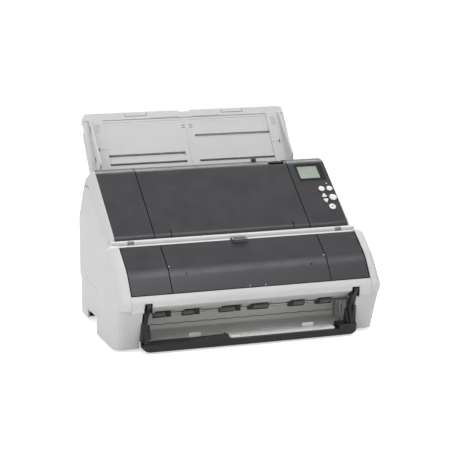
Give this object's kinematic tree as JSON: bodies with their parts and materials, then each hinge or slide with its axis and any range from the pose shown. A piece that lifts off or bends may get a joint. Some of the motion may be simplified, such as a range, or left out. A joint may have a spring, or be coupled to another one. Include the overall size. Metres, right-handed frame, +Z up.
{
  "type": "sheet-fed document scanner",
  "caption": "Sheet-fed document scanner on an imprinter base, with an opening feeder unit, paper chute with side guides, imprinter cover and pull-off stacker.",
  "frame": {"origin": "centre of the object's box, on the desk", "axes": "+X to the machine's right, +Y to its back, +Z up"},
  "size_m": [0.403, 0.3477, 0.3052],
  "materials": {
    "light_shell": "fine textured moulding, light grey",
    "dark_shell": "satin charcoal",
    "inner_black": "matt black",
    "black_plastic": "satin black",
    "exit_liner": "smooth warm grey",
    "steel": "zinc plated",
    "roller_rubber": "matt grey-brown rubber",
    "foot_rubber": "matt",
    "white_plastic": "smooth",
    "circuit_board": "solder mask green",
    "screen": "grey-green LCD"
  },
  "bodies": {
    "chassis": {"left_side_cover": "light_shell", "right_side_cover": "light_shell", "rear_cover": "light_shell", "front_apron": "light_shell", "bottom_pan": "steel", "chassis_frame": "steel", "adf_hinge_pin": "steel", "lower_paper_guide": "inner_black", "lower_read_unit": "inner_black", "connector_block": "black_plastic", "main_board": "circuit_board", "drive_motor": "steel", "hopper_tray": "light_shell", "imprinter_base": "light_shell", "imprinter_left_panel": "light_shell", "imprinter_right_panel": "light_shell", "imprinter_front_hood": "light_shell", "imprinter_top_bridge": "light_shell", "imprinter_left_cover": "dark_shell", "imprinter_right_cover": "dark_shell", "exit_floor": "exit_liner", "carriage_rail": "steel", "foot_front_left": "foot_rubber", "foot_front_right": "foot_rubber", "foot_rear_left": "foot_rubber", "foot_rear_right": "foot_rubber"},
    "adf": {"adf_left_cheek": "light_shell", "adf_right_cheek": "light_shell", "adf_left_cover": "dark_shell", "adf_centre_cover": "dark_shell", "operator_panel": "dark_shell", "adf_inner_guide": "inner_black", "upper_read_unit": "inner_black", "lcd_module": "screen"},
    "release_tab": {"adf_release_tab": "black_plastic"},
    "feed_lever": {"feed_lever": "black_plastic"},
    "scan_button": {"scan_button": "white_plastic"},
    "function_button": {"function_button": "white_plastic"},
    "enter_button": {"enter_button": "white_plastic"},
    "power_button": {"power_button": "white_plastic"},
    "up_button": {"up_button": "white_plastic"},
    "down_button": {"down_button": "white_plastic"},
    "brake_roller": {"brake_roller": "roller_rubber"},
    "pick_roller": {"pick_roller": "roller_rubber", "pick_gear": "black_plastic"},
    "feed_roller": {"feed_roller": "roller_rubber", "feed_gear": "black_plastic"},
    "motor_pinion": {"motor_pinion": "steel"},
    "guide_left": {"left_paper_guide": "light_shell"},
    "guide_right": {"right_paper_guide": "light_shell"},
    "guide_pinion": {"guide_pinion": "white_plastic"},
    "chute_extension": {"chute_extension": "light_shell"},
    "imprinter_cover": {"imprinter_centre_cover": "dark_shell"},
    "carriage": {"print_carriage": "black_plastic", "ink_cartridge": "black_plastic"},
    "exit_rollers": {"exit_roller_shaft": "roller_rubber"},
    "stacker": {"stacker_frame": "black_plastic", "stacker_plate": "white_plastic"},
    "stacker_extension": {"stacker_extension": "white_plastic"},
    "paper_stopper": {"paper_stopper": "white_plastic"}
  },
  "joints": [
    {"name": "adf_hinge", "type": "hinge", "parent": "chassis", "child": "adf", "pos_m": [0, -0.0681, 0.1475], "axis": [1, 0, 0], "range_deg": [0, 70]},
    {"name": "release_tab_hinge", "type": "hinge", "parent": "adf", "child": "release_tab", "pos_m": [0.107, 0.0381, 0.2336], "axis": [-1, 0, 0], "range_deg": [0, 20]},
    {"name": "feed_lever_slide", "type": "slide", "parent": "adf", "child": "feed_lever", "axis": [1, 0, 0], "range_m": [-0.012, 0.0045]},
    {"name": "scan_button_press", "type": "slide", "parent": "adf", "child": "scan_button", "axis": [0, 0.6074, -0.7944], "range_m": [0, 0.001]},
    {"name": "function_button_press", "type": "slide", "parent": "adf", "child": "function_button", "axis": [0, 0.6074, -0.7944], "range_m": [0, 0.001]},
    {"name": "enter_button_press", "type": "slide", "parent": "adf", "child": "enter_button", "axis": [0, 0.6074, -0.7944], "range_m": [0, 0.001]},
    {"name": "power_button_press", "type": "slide", "parent": "adf", "child": "power_button", "axis": [0, 0.6074, -0.7944], "range_m": [0, 0.001]},
    {"name": "up_button_press", "type": "slide", "parent": "adf", "child": "up_button", "axis": [0, 0.6074, -0.7944], "range_m": [0, 0.001]},
    {"name": "down_button_press", "type": "slide", "parent": "adf", "child": "down_button", "axis": [0, 0.6074, -0.7944], "range_m": [0, 0.001]},
    {"name": "brake_spin", "type": "hinge", "parent": "adf", "child": "brake_roller", "pos_m": [0, 0.02437, 0.15882], "axis": [1, 0, 0], "continuous": true},
    {"name": "pick_spin", "type": "hinge", "parent": "chassis", "child": "pick_roller", "pos_m": [0, 0.06076, 0.15808], "axis": [1, 0, 0], "continuous": true},
    {"name": "feed_spin", "type": "hinge", "parent": "chassis", "child": "feed_roller", "pos_m": [0, 0.03459, 0.14328], "axis": [1, 0, 0], "continuous": true},
    {"name": "motor_spin", "type": "hinge", "parent": "chassis", "child": "motor_pinion", "pos_m": [0, 0.05416, 0.13919], "axis": [1, 0, 0], "continuous": true},
    {"name": "guide_left_slide", "type": "slide", "parent": "chassis", "child": "guide_left", "axis": [1, 0, 0], "range_m": [0, 0.125]},
    {"name": "guide_right_slide", "type": "slide", "parent": "chassis", "child": "guide_right", "axis": [1, 0, 0], "range_m": [-0.125, 0]},
    {"name": "guide_pinion_spin", "type": "hinge", "parent": "chassis", "child": "guide_pinion", "pos_m": [0, 0.1285, 0.25473], "axis": [0, -0.8161, 0.5779], "range_deg": [0, 600]},
    {"name": "chute_extension_slide", "type": "slide", "parent": "chassis", "child": "chute_extension", "axis": [0, 0.5779, 0.8161], "range_m": [0, 0.09]},
    {"name": "imprinter_cover_hinge", "type": "hinge", "parent": "chassis", "child": "imprinter_cover", "pos_m": [0, -0.1644, 0.0915], "axis": [1, 0, 0], "range_deg": [0, 75]},
    {"name": "carriage_slide", "type": "slide", "parent": "chassis", "child": "carriage", "axis": [1, 0, 0], "range_m": [0, 0.19]},
    {"name": "exit_spin", "type": "hinge", "parent": "chassis", "child": "exit_rollers", "pos_m": [0, -0.1234, 0.0484], "axis": [1, 0, 0], "continuous": true},
    {"name": "stacker_slide", "type": "slide", "parent": "chassis", "child": "stacker", "axis": [0, -1, 0], "range_m": [0, 0.12]},
    {"name": "stacker_extension_slide", "type": "slide", "parent": "stacker", "child": "stacker_extension", "axis": [0, -1, 0], "range_m": [0, 0.03]},
    {"name": "paper_stopper_hinge", "type": "hinge", "parent": "stacker_extension", "child": "paper_stopper", "pos_m": [0.05, -0.1347, 0.01415], "axis": [-1, 0, 0], "range_deg": [0, 85]}
  ],
  "couplings": [
    {"joint": "feed_spin", "follows": "pick_spin", "ratio": 1},
    {"joint": "motor_spin", "follows": "pick_spin", "ratio": -1.5},
    {"joint": "guide_right_slide", "follows": "guide_left_slide", "ratio": -1},
    {"joint": "guide_pinion_spin", "follows": "guide_left_slide", "rad_per_m": 83.333}
  ]
}
